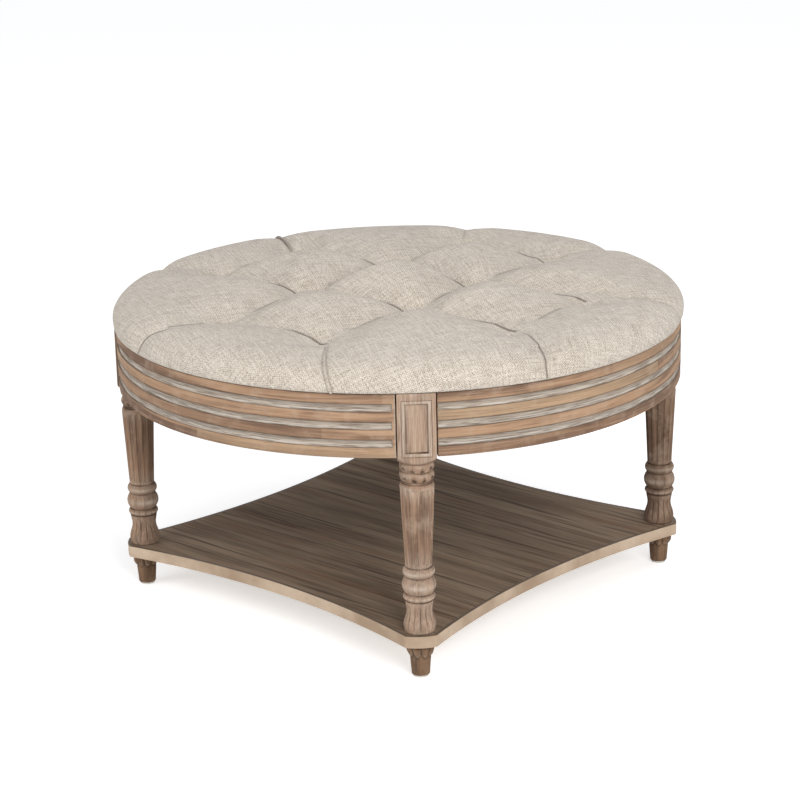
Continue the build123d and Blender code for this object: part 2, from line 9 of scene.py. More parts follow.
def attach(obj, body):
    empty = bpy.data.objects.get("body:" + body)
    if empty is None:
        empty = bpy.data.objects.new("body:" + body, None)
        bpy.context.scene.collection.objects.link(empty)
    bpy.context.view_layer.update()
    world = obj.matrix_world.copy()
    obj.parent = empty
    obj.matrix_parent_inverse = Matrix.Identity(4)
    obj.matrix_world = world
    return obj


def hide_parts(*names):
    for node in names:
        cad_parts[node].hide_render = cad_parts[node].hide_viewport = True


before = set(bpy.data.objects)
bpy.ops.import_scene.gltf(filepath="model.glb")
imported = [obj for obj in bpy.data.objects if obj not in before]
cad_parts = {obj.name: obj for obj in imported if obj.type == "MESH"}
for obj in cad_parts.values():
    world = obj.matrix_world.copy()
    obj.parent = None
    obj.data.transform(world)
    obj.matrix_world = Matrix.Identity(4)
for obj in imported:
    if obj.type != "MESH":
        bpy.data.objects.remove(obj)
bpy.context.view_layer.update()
scene = bpy.context.scene
mm = 0.001
weldWithin, sliverWithin = 2e-6, 1e-7  # metres: nearer points become one, shorter edges go
legAngles = {"front_left": 225, "front_right": 315, "back_right": 45, "back_left": 135}
sideAngles = {"front": 270, "right": 0, "back": 90, "left": 180}
print("frame loaded")


# camera and lamps

view = {"azimuth": 42.15, "elevation": 17.638, "distance": 3.4, "targetHeight": 0.235, "pan": 0.0086,
        "tilt": 17.195, "roll": -1.348, "lens": 106.5, "sensor": 36, "farthest": 50}


def placeCamera():
    # stands back from the target on the photograph's bearing, then turns by its own pan, tilt and roll
    bearing, rise = radians(view["azimuth"]), radians(view["elevation"])
    back = Vector((sin(bearing) * cos(rise), -cos(bearing) * cos(rise), sin(rise)))
    turn, tilt, roll = bearing + radians(view["pan"]), radians(view["tilt"]), radians(view["roll"])
    ahead = Vector((-sin(turn) * cos(tilt), cos(turn) * cos(tilt), -sin(tilt)))
    right = Vector((cos(turn), sin(turn), 0))
    up = right.cross(ahead)
    across, upright = right * cos(roll) + up * sin(roll), up * cos(roll) - right * sin(roll)
    camera = bpy.data.objects.new("camera", bpy.data.cameras.new("camera"))
    camera.data.lens = view["lens"]
    camera.data.sensor_width = view["sensor"]
    camera.data.clip_end = view["farthest"]
    place = Vector((0, 0, view["targetHeight"])) + back * view["distance"]
    camera.matrix_world = Matrix.Translation(place) @ Matrix((across, upright, -ahead)).transposed().to_4x4()
    scene.collection.objects.link(camera)
    scene.camera = camera


lampAim = (0, 0, 0.25)
lamps = {
    "keyLamp": {"place": (3.0, -1.6, 1.9), "size": 1.6, "power": 78},
    "fillLamp": {"place": (-1.6, -3.2, 1.4), "size": 2.2, "power": 40},
    "topLamp": {"place": (0.6, 1.2, 3.0), "size": 2.4, "power": 14},
}


def hangLamps():
    # square area lamps, each turned to the same aim
    for name, values in lamps.items():
        light = bpy.data.lights.new(name, "AREA")
        light.size, light.energy = values["size"], values["power"]
        lamp = bpy.data.objects.new(name, light)
        lamp.location = values["place"]
        lamp.rotation_euler = (Vector(lampAim) - lamp.location).to_track_quat("-Z", "Y").to_euler()
        scene.collection.objects.link(lamp)


# shader maths

class Wire:
    # one output of a material's or the world's nodes, so that its maths reads as an expression

    def __init__(self, nodes, socket):
        self.nodes, self.socket = nodes, socket

    def maths(self, operation, first, second=0.0):
        return self.nodes.node("Math", {"operation": operation}, {0: first, 1: second})

    def floor(self):
        return self.maths("FLOOR", self)

    def __add__(self, other):
        return self.maths("ADD", self, other)

    def __radd__(self, other):
        return self.maths("ADD", other, self)

    def __sub__(self, other):
        return self.maths("SUBTRACT", self, other)

    def __rsub__(self, other):
        return self.maths("SUBTRACT", other, self)

    def __mul__(self, other):
        return self.maths("MULTIPLY", self, other)

    def __rmul__(self, other):
        return self.maths("MULTIPLY", other, self)

    def __truediv__(self, other):
        return self.maths("DIVIDE", self, other)

    def __rtruediv__(self, other):
        return self.maths("DIVIDE", other, self)


class Nodes:
    # the nodes of a material or of the world

    def __init__(self, owner):
        owner.use_nodes = True
        self.tree = owner.node_tree
        self.tree.nodes.clear()

    def node(self, kind, settings=None, sockets=None, out=0):
        # settings are set first, then each socket gets its value or link; out is the output to return
        made = self.tree.nodes.new("ShaderNode" + kind)
        for name, value in (settings or {}).items():
            setattr(made, name, value)
        for name, value in (sockets or {}).items():
            self.plug(made.inputs[name], value)
        return made if out is None else Wire(self, made.outputs[out])

    def plug(self, socket, value):
        if isinstance(value, Wire):
            self.tree.links.new(value.socket, socket)
        else:
            socket.default_value = value

    def backdropRays(self):
        # 1 for rays from the camera, off something glossy or through something clear
        path = self.node("LightPath", out=None)
        camera = Wire(self, path.outputs["Is Camera Ray"])
        glossy = camera.maths("MAXIMUM", camera, Wire(self, path.outputs["Is Glossy Ray"]))
        return camera.maths("MAXIMUM", glossy, Wire(self, path.outputs["Is Transmission Ray"]))


class Finish(Nodes):
    # a material under construction: its shader and the nodes that feed it

    def __init__(self, name, **shader):
        self.material = bpy.data.materials.new(name)
        super().__init__(self.material)
        self.shader = self.node("BsdfPrincipled", {}, shader, out=0)
        self.node("OutputMaterial", {}, {"Surface": self.shader}, out=None)

    def feed(self, **sockets):
        for name, value in sockets.items():
            self.plug(self.shader.socket.node.inputs[name.replace("_", " ")], value)

    def objectPlace(self):
        return self.node("TexCoord", out="Object")

    def surfacePlace(self):
        return self.node("UVMap", {"uv_map": "surface"}, out="UV")

    def value(self, name):
        return self.node("Attribute", {"attribute_name": name}, out="Fac")

    def stretched(self, place, scale, turn=0.0, shift=(0, 0, 0)):
        sockets = {"Vector": place, "Scale": scale, "Rotation": (0, 0, turn), "Location": shift}
        return self.node("Mapping", {}, sockets)

    def noise(self, place, scale, detail=2.0, rough=0.5, distort=0.0):
        sockets = {"Vector": place, "Scale": scale, "Detail": detail, "Roughness": rough, "Distortion": distort}
        return self.node("TexNoise", {}, sockets, out="Fac")

    def between(self, value, low, high, start=0.0, end=1.0):
        sockets = {"Value": value, "From Min": low, "From Max": high, "To Min": start, "To Max": end}
        return self.node("MapRange", {"interpolation_type": "SMOOTHSTEP"}, sockets)

    def blend(self, share, first, second):
        return self.node("Mix", {"data_type": "RGBA"}, {0: share, 6: first, 7: second}, out=2)

    def bump(self, height, distance, strength=1.0):
        sockets = {"Height": height, "Distance": distance, "Strength": strength}
        return self.node("Bump", {}, sockets, out="Normal")


def shade(red, green, blue):
    return (red, green, blue, 1)


# meshes from grids of points

def gridFaces(rows, columns, around, turned, start):
    # each cell's four corner numbers; around joins the last column to the first, turned flips the face over
    row = np.arange(rows - 1)[:, None]
    column = np.arange(columns if around else columns - 1)[None, :]
    after = (column + 1) % columns
    corners = [row * columns + column, row * columns + after,
               (row + 1) * columns + after, (row + 1) * columns + column]
    cells = np.stack(np.broadcast_arrays(*corners), -1).reshape(-1, 4) + start
    return cells[:, ::-1] if turned else cells


def makePiece(name, sheets, material, sharp, node):
    # sheets: grids of points in millimetres with their flat places and values, welded into one closed mesh
    # that stands for a node; edges sharper than the given angle stay crisp
    points, faces, flat, values, start = [], [], [], {}, 0
    for sheet in sheets:
        grid = sheet["points"]
        rows, columns = grid.shape[:2]
        points.append(grid.reshape(-1, 3) * mm)
        faces.append(gridFaces(rows, columns, sheet.get("around", False), sheet.get("turned", False), start))
        flat.append(np.broadcast_to(sheet.get("flat", grid[..., :2]), (rows, columns, 2)).reshape(-1, 2) * mm)
        for key, value in sheet.get("values", {}).items():
            values.setdefault(key, []).append((start, np.broadcast_to(value, (rows, columns)).reshape(-1)))
        start += rows * columns
    mesh = bpy.data.meshes.new(name)
    mesh.from_pydata(np.concatenate(points), [], np.concatenate(faces).tolist())
    corner = np.zeros(len(mesh.loops), np.int32)
    mesh.loops.foreach_get("vertex_index", corner)
    mesh.uv_layers.new(name="surface").data.foreach_set("uv", np.concatenate(flat)[corner].reshape(-1))
    for key, filled in values.items():
        whole = np.zeros(start, np.float32)
        for first, value in filled:
            whole[first:first + len(value)] = value
        mesh.attributes.new(key, "FLOAT", "POINT").data.foreach_set("value", whole)
    form = bmesh.new()
    form.from_mesh(mesh)
    bmesh.ops.remove_doubles(form, verts=form.verts, dist=weldWithin)
    bmesh.ops.dissolve_degenerate(form, edges=form.edges, dist=sliverWithin)
    form.to_mesh(mesh)
    form.free()
    mesh.shade_smooth()
    mesh.set_sharp_from_angle(angle=radians(sharp))
    mesh.materials.append(material)
    piece = bpy.data.objects.new(name, mesh)
    scene.collection.objects.link(piece)
    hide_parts(node)
    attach(piece, "root")
    return piece


def held(values):
    # kept between 0 and 1
    return np.clip(values, 0, 1)


def amid(values, low, high):
    # true between low and high
    return (values > low) & (values < high)


def pairs(first, second):
    # two arrays side by side, as flat places or as rows of an outline
    return np.stack(np.broadcast_arrays(first, second), -1)


def closed(rows):
    # the first row again after the last
    return np.concatenate([rows, rows[:1]])


def ringPoints(radius, turn, height):
    # (radius * cos(turn), radius * sin(turn), height)
    return np.stack(np.broadcast_arrays(radius * np.cos(turn), radius * np.sin(turn), height), -1)


def quarterTurn(places, quarter):
    # flat places turned round the middle by so many quarters
    angle = quarter * pi / 2
    return places @ np.array([[cos(angle), sin(angle)], [-sin(angle), cos(angle)]])


def crowded(start, end, count, squeeze=1.5):
    # places from start to end, closer together at both ends: the middle plus half the span times
    # tanh(squeeze * t) / tanh(squeeze) for t from -1 to 1
    steps = np.tanh(squeeze * np.linspace(-1, 1, count)) / np.tanh(squeeze)
    return (start + end) / 2 + (end - start) / 2 * steps


def standUp(grid, angle, out=0.0):
    # a grid drawn with +X outwards is pushed out along it and turned to its bearing round the table's middle
    turn = radians(angle)
    x, y = grid[..., 0] + out, grid[..., 1]
    return np.stack([x * cos(turn) - y * sin(turn), x * sin(turn) + y * cos(turn), grid[..., 2]], -1)


# seat cover

seat = {
    "tuft": 88.39, "outer": 265.17,  # the tufts' rows on both sides of the middle
    "top": 470, "crest": 363, "crestHeight": 434.6, "rim": 401.8, "rimHeight": 406.4, "crownPower": 1.5,
    "rollStart": 14.8,  # degrees of the ellipse at which the roll leaves the crown
    "lip": 394.9, "lipIn": 400.2,  # the cloth stands just over the top edge of the rails
    # radius and height of the cloth that is turned in under the cushion
    "hem": [(399.4, 394.4), (397, 394.0), (393, 393.75), (386, 393.65), (366, 393.65), (346, 393.65),
            (345, 394.2), (345, 396), (200, 396), (0, 396)],
    "innerDepth": 34, "spokeDepth": 26, "outerDepth": 19, "tuftDepth": 41, "outerTuftDepth": 31,
    "creaseReach": 88, "creaseRound": 1.6, "creaseSag": 2.6, "creaseLine": 2.0,
    "pleatReach": 52, "pleatRound": 1.9, "pleatLine": 1.5, "unionPower": 5,
    "strapHalf": 2.9, "straps": {"B": 4.2, "F": 2.4},  # at the double pleats, and how high
    "foamTop": 424.6, "foamEdge": 351, "foamMargin": 12, "wellRadius": 38, "wellDepth": 14, "cloth": 3.8,
    # each pleat by its tuft: where it meets the rim in degrees, how deep it is there and how dark the painted
    # shade along it is
    "pleats": {"K": (-20.0, 9, 0.9), "L": (28.7, 8, 0.35), "H": (76.0, 9, 0.35), "G": (116.8, 4.5, 0.35),
               "B": (160.0, 4, 0.9), "A": (197.0, 8, 0.2), "E": (251.0, 9, 1.0), "F": (299.4, 6, 0.5)},
    # how far each tuft was drawn away from its place in the square pattern, and how far round it that reaches
    "drawn": {"K": (7, 24), "L": (-12, 26), "H": (-24, -8), "G": (-15, 1), "B": (5, -24), "A": (-7, -8),
              "E": (20, -4), "F": (15, 8), "D": (10, -19), "C": (14, -16), "I": (-4, -19), "J": (13, 10)},
    "drawnReach": 92,
    "middleCells": 61, "cornerCells": 92, "spokeCells": 61, "rimCells": 56,
}


def tuftPlaces():
    # a square pattern: four tufts round the middle and two beyond each side of their square
    inner, outer = seat["tuft"], seat["outer"]
    return {"K": (outer, -inner), "L": (outer, inner), "H": (inner, outer), "G": (-inner, outer),
            "B": (-outer, inner), "A": (-outer, -inner), "E": (-inner, -outer), "F": (inner, -outer),
            "D": (-inner, -inner), "C": (-inner, inner), "I": (inner, inner), "J": (inner, -inner)}


def seatProfile():
    # crown: top - drop * (r / crest)^crownPower; roll: part of an ellipse from the crest to the rim; side: a
    # quarter of an ellipse from the rim in to the lip; then places at even lengths along all three
    drop = seat["top"] - seat["crestHeight"]
    crownRadius = np.linspace(0, seat["crest"], 160)
    crown = pairs(crownRadius, seat["top"] - drop * (crownRadius / seat["crest"]) ** seat["crownPower"])
    start = radians(seat["rollStart"])
    turn = np.linspace(start, pi / 2, 40)[1:]
    wide = (seat["rim"] - seat["crest"]) / (1 - sin(start))
    tall = (seat["crestHeight"] - seat["rimHeight"]) / cos(start)
    roll = pairs(seat["rim"] - wide + wide * np.sin(turn), seat["rimHeight"] + tall * np.cos(turn))
    turn = np.linspace(0, pi / 2, 16)[1:]
    side = pairs(seat["lipIn"] + (seat["rim"] - seat["lipIn"]) * np.cos(turn),
                 seat["rimHeight"] - (seat["rimHeight"] - seat["lip"]) * np.sin(turn))
    outline = np.concatenate([crown, roll, side])
    length = np.concatenate([[0], np.cumsum(np.hypot(*np.diff(outline, axis=0).T))])
    even = np.linspace(0, length[-1], 900)
    outline = pairs(np.interp(even, length, outline[:, 0]), np.interp(even, length, outline[:, 1]))
    return even, outline


def creases():
    # lines from tuft to tuft as (start, end, depth at the start, in the middle and at the end, where the crisp
    # line of painted shade starts and stops, how dark it is): the square's sides, the outer sides, and the
    # spokes between them
    inner, outer, found = seat["tuft"], seat["outer"], []
    deep, shallow = seat["tuftDepth"], seat["outerTuftDepth"]
    ring, spoke, edge = seat["innerDepth"], seat["spokeDepth"], seat["outerDepth"]
    # the painted shade is firm along the creases that run along X and faint along those that run along Y
    firm, faint = (0.55, 1.0, 1.0), (0.2, 0.62, 0.55)

    def bothWays(low, high, away, first, middle, last):
        found.append(((low, away), (high, away), first, middle, last, *firm))
        found.append(((away, low), (away, high), first, middle, last, *faint))

    for sign in (-1, 1):
        bothWays(-inner, inner, sign * inner, deep, ring, deep)
        bothWays(-inner, inner, sign * outer, shallow, edge, shallow)
        for other in (-1, 1):
            if sign < 0:
                bothWays(-outer, -inner, other * inner, shallow, spoke, deep)
            else:
                bothWays(inner, outer, other * inner, deep, spoke, shallow)
    return found


def pleats(flatRim):
    # each runs from an outer tuft to its place on the rim
    places, found = tuftPlaces(), []
    for name, (bearing, depth, shadeStrength) in seat["pleats"].items():
        end = (flatRim * cos(radians(bearing)), flatRim * sin(radians(bearing)))
        found.append((name, places[name], end, depth, shadeStrength))
    return found


def lineDistance(x, y, start, end):
    # distance to a straight line between two places, and how far along it the nearest point lies
    run = np.subtract(end, start)
    along = held(((x - start[0]) * run[0] + (y - start[1]) * run[1]) / (run @ run))
    return np.hypot(x - start[0] - along * run[0], y - start[1] - along * run[1]), along


def seatRelief(x, y, flatRim):
    # depth below the crown: a smooth union (power mean) of all creases and pleats, each a wedge (1 - d /
    # reach)^round across and deepest at its tufts along, less the straps; the painted shade along the folds is
    # 1 on the crisp lines where cloth meets cloth and falls off as exp(-(d / line)^2)
    power, total, fold, strap = seat["unionPower"], np.zeros_like(x), np.zeros_like(x), np.zeros_like(x)
    for start, end, first, middle, last, crispFrom, crispTo, shadeStrength in creases():
        distance, along = lineDistance(x, y, start, end)
        ends = np.where(along < 0.5, first, last)
        depth = middle + (ends - middle) * np.abs(2 * along - 1) ** seat["creaseSag"]
        wedge = held(1 - distance / seat["creaseReach"]) ** seat["creaseRound"]
        total += (depth * wedge) ** power
        crisp = held((along - crispFrom) / 0.15) * held((crispTo + 0.05 - along) / 0.05)
        fold = np.maximum(fold, shadeStrength * crisp * np.exp(-(distance / seat["creaseLine"]) ** 2))
    for name, start, end, shallow, dark in pleats(flatRim):
        distance, along = lineDistance(x, y, start, end)
        depth = (shallow + (seat["outerTuftDepth"] - shallow) * (1 - along) ** 3) * held((1.02 - along) / 0.12)
        wedge = held(1 - distance / seat["pleatReach"]) ** seat["pleatRound"]
        total += (depth * wedge) ** power
        if name in seat["straps"]:
            width = seat["strapHalf"] * (0.35 + 0.65 * along)
            rise = seat["straps"][name] * held(along / 0.1)
            strap += rise * held(1 - (distance / width) ** 2) ** 0.5
            distance = np.abs(distance - width)
        shadeStrength = dark * held((along - 0.08) / 0.2)
        fold = np.maximum(fold, shadeStrength * np.exp(-(distance / seat["pleatLine"]) ** 2))
    return total ** (1 / power) - strap, fold


def drawnAside(x, y):
    # the cloth's places shift with the tufts beside them: the sum of weight * shift over the greater of 1 and
    # the sum of weights, where weight = exp(-(d / drawnReach)^2)
    shiftX, shiftY, pull = np.zeros_like(x), np.zeros_like(x), np.zeros_like(x)
    for name, place in tuftPlaces().items():
        weight = np.exp(-((x - place[0]) ** 2 + (y - place[1]) ** 2) / seat["drawnReach"] ** 2)
        shiftX = shiftX + weight * seat["drawn"][name][0]
        shiftY = shiftY + weight * seat["drawn"][name][1]
        pull = pull + weight
    return x + shiftX / np.maximum(pull, 1), y + shiftY / np.maximum(pull, 1)


def seatPoints(x, y, lengths, outline):
    # flat places in the cloth become places on the profile, pushed in along its normal by the relief, and
    # kept above the foam and its wells by a smooth maximum (a + b + sqrt((a - b)^2 + 4)) / 2
    flatRim = lengths[-1]
    depth, fold = seatRelief(x, y, flatRim)
    x, y = drawnAside(x, y)
    away = np.clip(np.hypot(x, y), 0, flatRim)
    bearing = np.arctan2(y, x)
    slope = np.gradient(outline, lengths, axis=0)
    radius, height = np.interp(away, lengths, outline[:, 0]), np.interp(away, lengths, outline[:, 1])
    outward, upward = np.interp(away, lengths, -slope[:, 1]), np.interp(away, lengths, slope[:, 0])
    radius = radius - outward * depth
    height = height - upward * depth
    well = np.full_like(x, 1e3)
    for place in tuftPlaces().values():
        well = np.minimum(well, np.hypot(x - place[0], y - place[1]))
    bed = seat["foamTop"] + seat["cloth"] - seat["wellDepth"] * held(1 - well / seat["wellRadius"])
    overFoam = away < seat["foamEdge"] + seat["foamMargin"]
    bed = np.where(overFoam, bed, 0)
    lifted = (height + bed + np.sqrt((height - bed) ** 2 + 4)) / 2
    height = np.where(overFoam, lifted, height)
    return ringPoints(radius, bearing, height), fold


def makeSeat(material):
    # a square grid between the four middle tufts, and round it a ring of columns from the square's sides and
    # corners out to the outer tufts and on to the rim, where the columns meet the pleats' ends; the hem
    # closes it below, towards the middle
    lengths, outline = seatProfile()
    flatRim = lengths[-1]
    inner, outer = seat["tuft"], seat["outer"]
    across = crowded(-inner, inner, seat["middleCells"])
    middleX, middleY = np.meshgrid(across, across)
    bearings = [pleat[0] for pleat in seat["pleats"].values()]
    ends = np.radians(bearings + [bearings[0] + 360])
    starts, middles, rims = [], [], []
    fan = crowded(0, pi / 2, seat["cornerCells"])[1:-1]
    corner = np.full((len(fan), 2), inner)
    reach = (outer - inner) * pairs(np.cos(fan), np.sin(fan))
    for quarter in range(4):
        starts += [quarterTurn(pairs(inner, across), quarter), quarterTurn(corner, quarter)]
        middles += [quarterTurn(pairs(outer, across), quarter), quarterTurn(corner + reach, quarter)]
        first, second, third = ends[2 * quarter: 2 * quarter + 3]
        rims += [first + (second - first) * (across + inner) / (2 * inner),
                 second + (third - second) * fan / (pi / 2)]
    start, middle, rim = np.concatenate(starts), np.concatenate(middles), np.concatenate(rims)
    rimPlace = flatRim * pairs(np.cos(rim), np.sin(rim))
    out = crowded(0, 1, seat["spokeCells"])[:, None, None]
    inside = start + (middle - start) * out
    out = np.linspace(0, 1, seat["rimCells"])[1:, None, None] ** 1.25
    outside = middle + (rimPlace - middle) * out
    flat = np.concatenate([inside, outside])
    points, fold = seatPoints(flat[..., 0], flat[..., 1], lengths, outline)
    hem = np.array(seat["hem"])
    under = ringPoints(hem[:, :1], rim, hem[:, 1:])
    ring = {"points": np.concatenate([points, under]), "around": True, "turned": True,
            "flat": np.concatenate([flat, under[..., :2]]),
            "values": {"fold": np.concatenate([fold, np.zeros(under.shape[:2])])}}
    points, fold = seatPoints(middleX, middleY, lengths, outline)
    pad = {"points": points, "flat": pairs(middleX, middleY), "values": {"fold": fold}}
    cushion = makePiece("cushion", [ring, pad], material, 70, "seat_cover")


# legs

leg = {
    "axis": 375, "half": 25, "arris": 0.9, "top": 393.6, "blockBottom": 298,
    # the panel in the block's outer face: its opening, and how deep its moulding lies so far inside the edge
    "mouthHalf": 20, "mouthTop": 384.6, "mouthBottom": 308.6,
    "mouldingStep": [0, 0.5, 0.9, 1.3, 2.2, 3.2, 4.2, 5.0, 5.6, 6.0, 6.3, 8],
    "mouldingDepth": [0, 1.0, 1.0, 0.3, -0.2, -0.3, 0.1, 0.8, 1.6, 2.8, 3.1, 3.0],
    "roundedRadius": 21.2, "roundedRise": 14.2, "roundedHeight": 13.0,  # the block's lower end
    # the waisted base from the shelf up: bottom, top, radius below, radius above, rows
    "bell": [(64.8, 72.5, 20.2, 21.2, 8), (73, 93, 21.2, 16.9, 22), (93.5, 106.6, 16.9, 18.6, 14)],
    # what swells above it: bottom, top, radius at both ends, how far it swells, rows
    "lowerRing": (107.6, 116.8, 17.8, 3.3, 14), "ball": (117, 140.0, 17.4, 5.0, 26),
    "upperRing": (140.2, 153.8, 17.6, 3.5, 18),
    "shaftBottom": 154.4, "shoulder": 261.5, "shaftTop": 269.5, "shaftRadius": 17.5, "taper": 5,
    "rounding": 2.5,  # of the shaft's shoulder
    "beads": (272.2, 285.1), "beadHeight": 12.8, "beadRadius": 19.7, "beadSwell": 3.2, "tenonRadius": 19.8,
    "flutes": 14, "fluteDepth": 2.0, "fluteShare": 0.7, "fluteBottom": 158.5, "fluteTop": 263,
    "petals": 10, "petalDepth": 1.9, "ribs": (67, 103), "ribDepth": 1.5, "ringNicks": 0.9, "ballGrooves": 0.8,
    # heights for the finish: the fluted stretch, where its wash thickens at both ends, and the necks painted
    # with shade
    "fluted": (154, 265.5), "washEnds": (156, 240), "plainFrom": 266, "beadsFrom": 270,
    "ribsDarkTo": 256, "ribsPaleFrom": 254, "necks": [64, 107.4, 116.9, 140.1, 154, 269.6, 272.2, 285.1, 298],
    # how much wash each leg has kept, and how dark its stain is; the front left and back right legs' lower wash
    # and darker stain are partly painted shade
    "worn": {"front_left": (0.65, 0.12), "front_right": (1.0, 0.0), "back_right": (0.42, 0.42),
             "back_left": (0.8, 0.08)},
}


def legOutline():
    # rows of (height, radius) up the turned part; swell: neck + height * sin(pi * t)^0.8 for t from 0 to 1,
    # ease: low + (high - low) * (1 - cos(pi * t)) / 2
    rows = []

    def swell(bottom, top, neck, height, count):
        share = np.linspace(0, 1, count)
        rows.append(pairs(bottom + (top - bottom) * share, neck + height * np.sin(pi * share) ** 0.8))

    def ease(bottom, top, low, high, count):
        share = np.linspace(0, 1, count)
        radius = low + (high - low) * (1 - np.cos(pi * share)) / 2
        rows.append(pairs(bottom + (top - bottom) * share, radius))

    rows.append(np.array([(63.7, 0), (63.7, 19.3), (64.3, 20.0)]))
    for stretch in leg["bell"]:
        ease(*stretch)
    rows.append(np.array([(107.2, 19.0), (107.4, 18.4), (107.5, 17.6)]))
    for name in ("lowerRing", "ball", "upperRing"):
        swell(*leg[name])
    rows.append(np.array([(154, 17.2)]))
    bottom, shoulder, top = leg["shaftBottom"], leg["shoulder"], leg["shaftTop"]
    share = np.linspace(0, 1, 90)
    rows.append(pairs(bottom + (shoulder - bottom) * share, leg["shaftRadius"] + leg["taper"] * share))
    share = np.linspace(0, 1, 12)[1:]
    drawnIn = leg["shaftRadius"] + leg["taper"] - leg["rounding"]
    radius = drawnIn + leg["rounding"] * np.sqrt(held(1 - share ** 2))
    rows.append(pairs(shoulder + (top - shoulder) * share, radius))
    rows.append(np.array([(269.6, 19.5), (270.1, 20.3), (271.6, 20.3), (272.1, 19.6)]))
    for bottom in leg["beads"]:
        swell(bottom + 0.1, bottom + leg["beadHeight"], leg["beadRadius"], leg["beadSwell"], 26)
    rows.append(np.array([(298.2, leg["tenonRadius"]), (304, leg["tenonRadius"]), (304, 0)]))
    return np.concatenate(rows)


def capsule(across, along, bottom, top, half):
    # 1 in the middle of a rounded slot and 0 on its edge and outside: sqrt(1 - q^2), q the distance in
    # half-widths
    beyond = np.maximum(0, np.maximum(bottom + half - along, along - top + half))
    q = np.hypot(across, beyond) / half
    return np.sqrt(held(1 - q ** 2))


def legPoints():
    # the outline's radius less what is carved: flutes sqrt(1 - q^2) deep on the shaft, nicks between petals
    # on the beads, ribs on the base, nicks on the lower ring and grooves down the ball, each 0 on its lobe
    # |sin| and deepest between two; with it the finish: dark (dirt and painted shade), wash (limewash) and edge
    # (worn pale, with a painted highlight high on each bead)
    outline = legOutline()
    height, radius = outline[:, :1], outline[:, 1:]
    turn = np.linspace(0, 2 * pi, leg["flutes"] * 16, endpoint=False)[None, :]
    lobe = np.abs(np.sin(turn * leg["flutes"] / 2))
    across = (0.5 - np.abs((turn * leg["flutes"] / (2 * pi)) % 1 - 0.5)) * 2 * pi * radius / leg["flutes"]
    half = leg["fluteShare"] * pi * radius / leg["flutes"]
    fromMiddle = pi * radius / leg["flutes"] - across
    channel = capsule(fromMiddle, height, leg["fluteBottom"], leg["fluteTop"], np.maximum(half, 0.1))
    onShaft = amid(height, *leg["fluted"])
    carve = np.where(onShaft, leg["fluteDepth"] * channel, 0)
    spots, pale = np.zeros_like(carve), np.zeros_like(carve)
    for bottom in leg["beads"]:
        share = held((height - bottom) / leg["beadHeight"])
        onBead = amid(height, bottom, bottom + leg["beadHeight"])
        petal = np.abs(np.sin(turn * leg["petals"] / 2 + 0.05 * bottom))
        nick = held(1 - petal / 0.8)
        inside = onBead * np.sin(pi * held(share * 1.25)) ** 0.7
        carve = carve + leg["petalDepth"] * inside * nick ** 1.4
        uneven = 0.8 + 0.2 * np.sin(5 * turn + bottom)  # no two painted shade spots are alike
        high = 0.3 + 0.1 * np.sin(3 * turn + 2 * bottom)
        # painted shade: dark spots in the nicks low on each bead, and each bead darker towards its foot
        spot = nick ** 0.7 * np.exp(-((share - high) / 0.17) ** 2) * uneven
        low = 0.35 * held(1 - share / 0.55) * (0.6 + 0.4 * np.sin(4 * turn + bottom))
        spots = np.maximum(spots, held(1.9 * spot + low) * onBead)
        # painted highlight across the upper part of each bead, kept as edge
        lit = 0.55 * onBead * np.exp(-((share - 0.72) / 0.16) ** 2)
        pale = np.maximum(pale, lit * (0.6 + 0.4 * np.sin(7 * turn + 3 * bottom)))
    low, high = leg["ribs"]
    inside = amid(height, low, high) * np.sin(pi * held((height - low) / (high - low))) ** 0.5
    carve = carve + leg["ribDepth"] * inside * held(1 - lobe / 0.5)
    onRing = amid(height, *leg["lowerRing"][:2])
    carve = carve + leg["ringNicks"] * onRing * held(1 - lobe / 0.6)
    low, high = leg["ball"][:2]
    onBall = amid(height, low, high)
    melon = np.abs(np.sin(turn * leg["petals"] / 2 + 0.6))
    groove = leg["ballGrooves"] * onBall * held(1 - melon / 0.4)
    carve = carve + groove * np.sin(pi * held((height - low) / (high - low)))
    reach = np.maximum(radius - carve, 0)
    points = ringPoints(reach, turn, height)
    low, high = leg["washEnds"]
    nearEnd = held(1 - (height - low) / 26) + held((height - high) / 24)
    wash = np.where(onShaft, 0.12 + 0.4 * nearEnd, np.where(height > leg["plainFrom"], 0.22, 0.42))
    # darker the deeper the carving off the shaft: dirt and painted shade
    dark = np.maximum(held(carve / leg["petalDepth"]) * 0.6, spots) * ~onShaft
    # painted shade in the necks between the swellings
    necks = np.exp(-((height - np.array([leg["necks"]])) / 0.9) ** 2).max(1)[:, None]
    patchy = 0.75 + 0.25 * np.sin(3 * turn + height / 9)
    dark = np.maximum(dark, necks * patchy)
    dark = np.maximum(dark, 0.12 * (height > leg["beadsFrom"]))
    rib = held(1 - np.abs(channel - 0.3) / 0.3) * onShaft  # the arris on both sides of a flute
    # painted shade along the flutes' sides, below ribsDarkTo
    dark = np.maximum(dark, rib * 0.5 * (height < leg["ribsDarkTo"]))
    crown = np.gradient(outline[:, 1])[:, None]
    swelling = amid(height, leg["lowerRing"][0], leg["upperRing"][1] - 0.2)
    worn = swelling * patchy * np.exp(-(crown / 0.25) ** 2) * 0.9  # where a swelling stands out most
    edge = held(rib * (height > leg["ribsPaleFrom"]) + worn + pale) * (1 - spots)
    return points, pairs(turn * 20, height), {"wash": wash, "dark": dark, "edge": edge}


